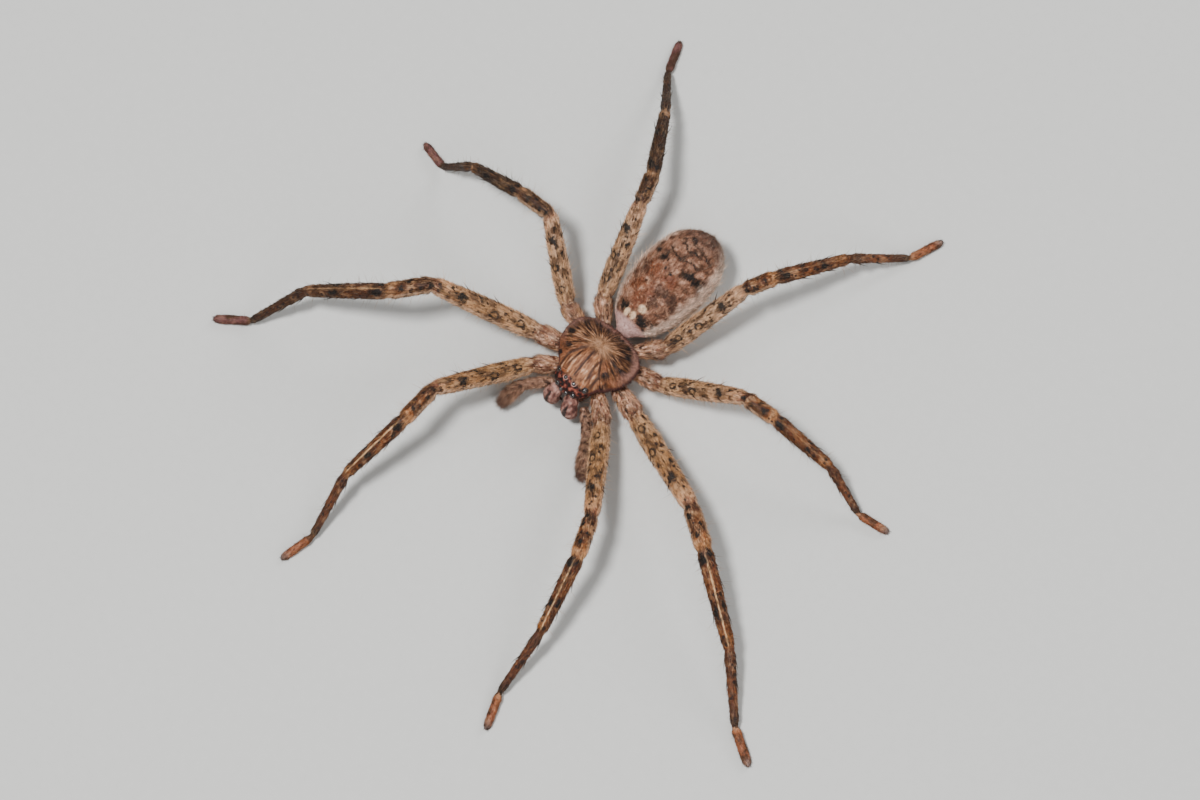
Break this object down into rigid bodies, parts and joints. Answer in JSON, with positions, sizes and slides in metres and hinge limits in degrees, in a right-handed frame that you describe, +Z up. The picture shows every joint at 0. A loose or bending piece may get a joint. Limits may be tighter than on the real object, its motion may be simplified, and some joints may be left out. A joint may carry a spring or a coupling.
{
  "type": "huntsman spider",
  "caption": "Huntsman spider as a still, life-size model: flat, hairy body, eyes in two rows, and long spiny legs spread wide and low.",
  "frame": {"origin": "on the floor under the middle of the model's box", "axes": "+Z up from the floor; the spider's head looks towards -Y, and its own left is +X"},
  "size_m": [0.0834, 0.0788, 0.0112],
  "materials": {
    "carapace": "satin cuticle under short hair",
    "core": "satin cuticle under short hair",
    "abdomen": "matt, close short hair",
    "spinneret": "matt, short hair",
    "chelicera": "satin cuticle with hair",
    "palp": "matt, bushy hair",
    "coxa": "satin cuticle with hair",
    "femur": "matt, short hair, dark spots",
    "tibia": "matt, short hair",
    "metatarsus": "matt, short hair",
    "tarsus": "matt, dense hair pad",
    "eye": "wet gloss"
  },
  "bodies": {
    "root": {"abdomen": "abdomen", "carapace": "carapace", "chelicera_left": "chelicera", "chelicera_right": "chelicera", "core": "core", "eye_front_middle_left": "eye", "eye_front_middle_right": "eye", "eye_front_outer_left": "eye", "eye_front_outer_right": "eye", "eye_rear_middle_left": "eye", "eye_rear_middle_right": "eye", "eye_rear_outer_left": "eye", "eye_rear_outer_right": "eye", "leg1_left_coxa": "coxa", "leg1_left_femur": "femur", "leg1_left_metatarsus": "metatarsus", "leg1_left_tarsus": "tarsus", "leg1_left_tibia": "tibia", "leg1_right_coxa": "coxa", "leg1_right_femur": "femur", "leg1_right_metatarsus": "metatarsus", "leg1_right_tarsus": "tarsus", "leg1_right_tibia": "tibia", "leg2_left_coxa": "coxa", "leg2_left_femur": "femur", "leg2_left_metatarsus": "metatarsus", "leg2_left_tarsus": "tarsus", "leg2_left_tibia": "tibia", "leg2_right_coxa": "coxa", "leg2_right_femur": "femur", "leg2_right_metatarsus": "metatarsus", "leg2_right_tarsus": "tarsus", "leg2_right_tibia": "tibia", "leg3_left_coxa": "coxa", "leg3_left_femur": "femur", "leg3_left_metatarsus": "metatarsus", "leg3_left_tarsus": "tarsus", "leg3_left_tibia": "tibia", "leg3_right_coxa": "coxa", "leg3_right_femur": "femur", "leg3_right_metatarsus": "metatarsus", "leg3_right_tarsus": "tarsus", "leg3_right_tibia": "tibia", "leg4_left_coxa": "coxa", "leg4_left_femur": "femur", "leg4_left_metatarsus": "metatarsus", "leg4_left_tarsus": "tarsus", "leg4_left_tibia": "tibia", "leg4_right_coxa": "coxa", "leg4_right_femur": "femur", "leg4_right_metatarsus": "metatarsus", "leg4_right_tarsus": "tarsus", "leg4_right_tibia": "tibia", "palp_base_left": "palp", "palp_base_right": "palp", "palp_tip_left": "palp", "palp_tip_right": "palp", "spinnerets": "spinneret"}
  },
  "joints": []
}
